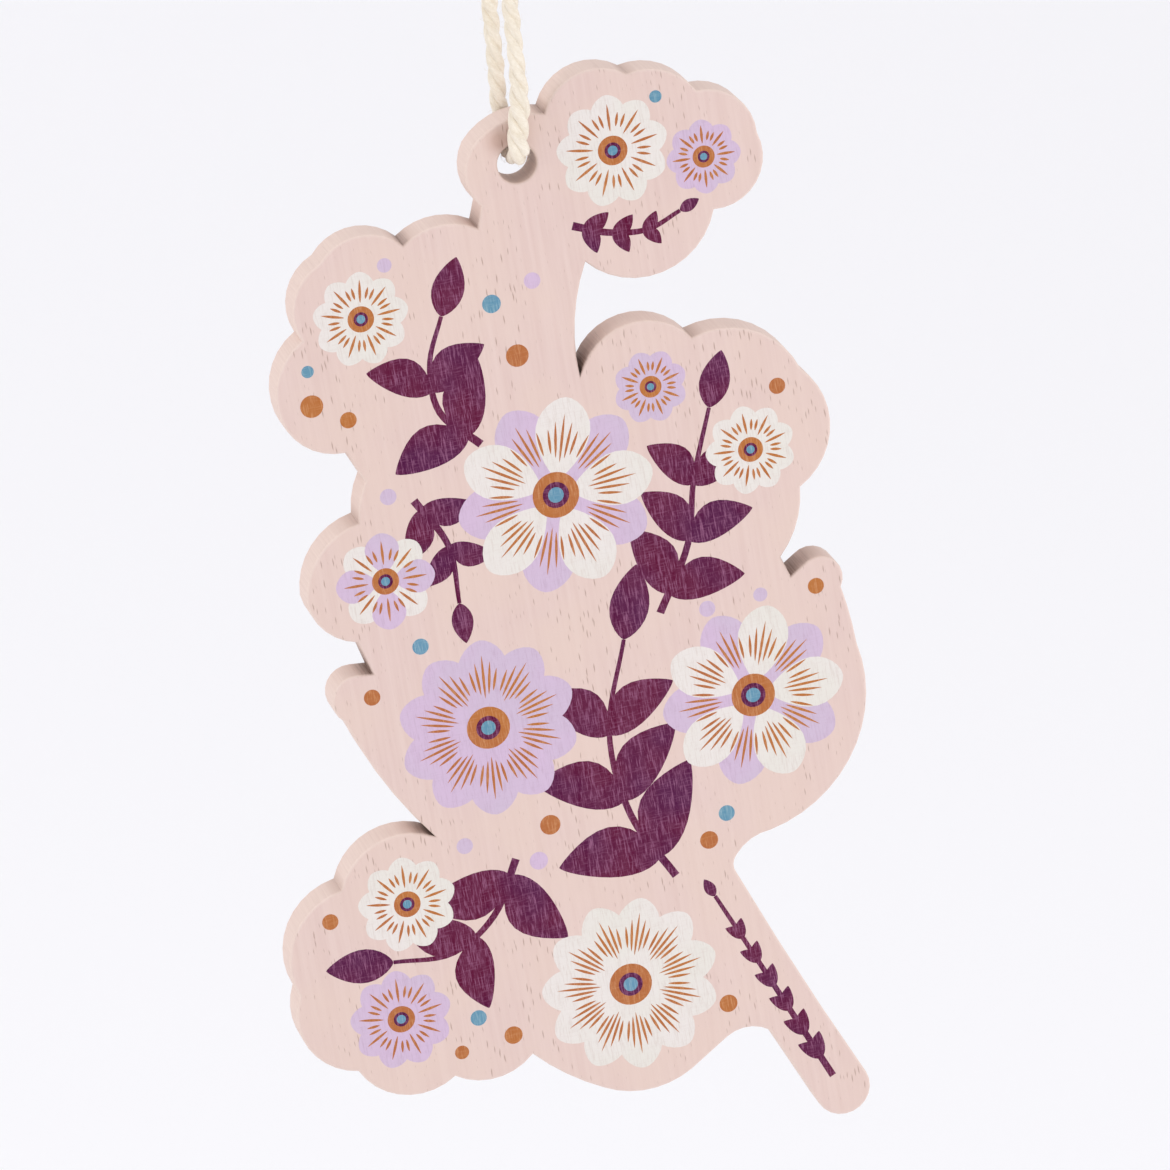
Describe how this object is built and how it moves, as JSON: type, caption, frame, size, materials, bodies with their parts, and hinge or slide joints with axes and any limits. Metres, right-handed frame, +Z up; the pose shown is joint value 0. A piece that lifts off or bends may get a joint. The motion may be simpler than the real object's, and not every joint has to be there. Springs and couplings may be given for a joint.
{
  "type": "hanging tag",
  "caption": "Flat hanging tag of thin painted plywood cut to the outline of a flower cluster, with a small hole, on a knotted loop of twisted twine.",
  "frame": {"origin": "the place inside the top of the twine loop, just under its knot, where a hook or a finger carries the tag", "axes": "+Z up the hanging twine, the printed front faces -Y, and +X is to the right as the front is seen"},
  "size_m": [0.059, 0.0078, 0.1822],
  "materials": {
    "printed_face": "thin matt pale pink paint on fine-grained wood, with a printed pattern of plain daisies, buds, leaves and dots",
    "painted_wood": "thin matt pale pink paint on fine-grained wood, with a brown laser scorch in the notches of the cut edge",
    "twine": "soft cream twine of twisted plant fibre, slightly hairy"
  },
  "bodies": {
    "loop_top": {"twine_knot": "twine", "twine_tail_1": "twine", "twine_tail_2": "twine", "twine_front_upper": "twine", "twine_rear_upper": "twine"},
    "loop_legs": {"twine_front_lower": "twine", "twine_rear_lower": "twine"},
    "loop_bight": {"twine_bight": "twine"},
    "tag": {"front_veneer": "printed_face", "core_veneer": "painted_wood", "back_veneer": "painted_wood"}
  },
  "joints": [
    {"name": "tag_turn", "type": "hinge", "parent": "loop_top", "child": "loop_legs", "pos_m": [0, 0, -0.032], "axis": [0, 0, 1], "range_deg": [-180, 180], "deforming": ["twine_front_upper", "twine_rear_upper"]},
    {"name": "tag_nod", "type": "hinge", "parent": "loop_legs", "child": "loop_bight", "pos_m": [0, 0, -0.06365], "axis": [1, 0, 0], "range_deg": [-30, 30], "deforming": ["twine_front_lower", "twine_rear_lower"]},
    {"name": "tag_swing", "type": "hinge", "parent": "loop_bight", "child": "tag", "pos_m": [0, 0, -0.066], "axis": [0, 1, 0], "range_deg": [-90, 90]}
  ]
}
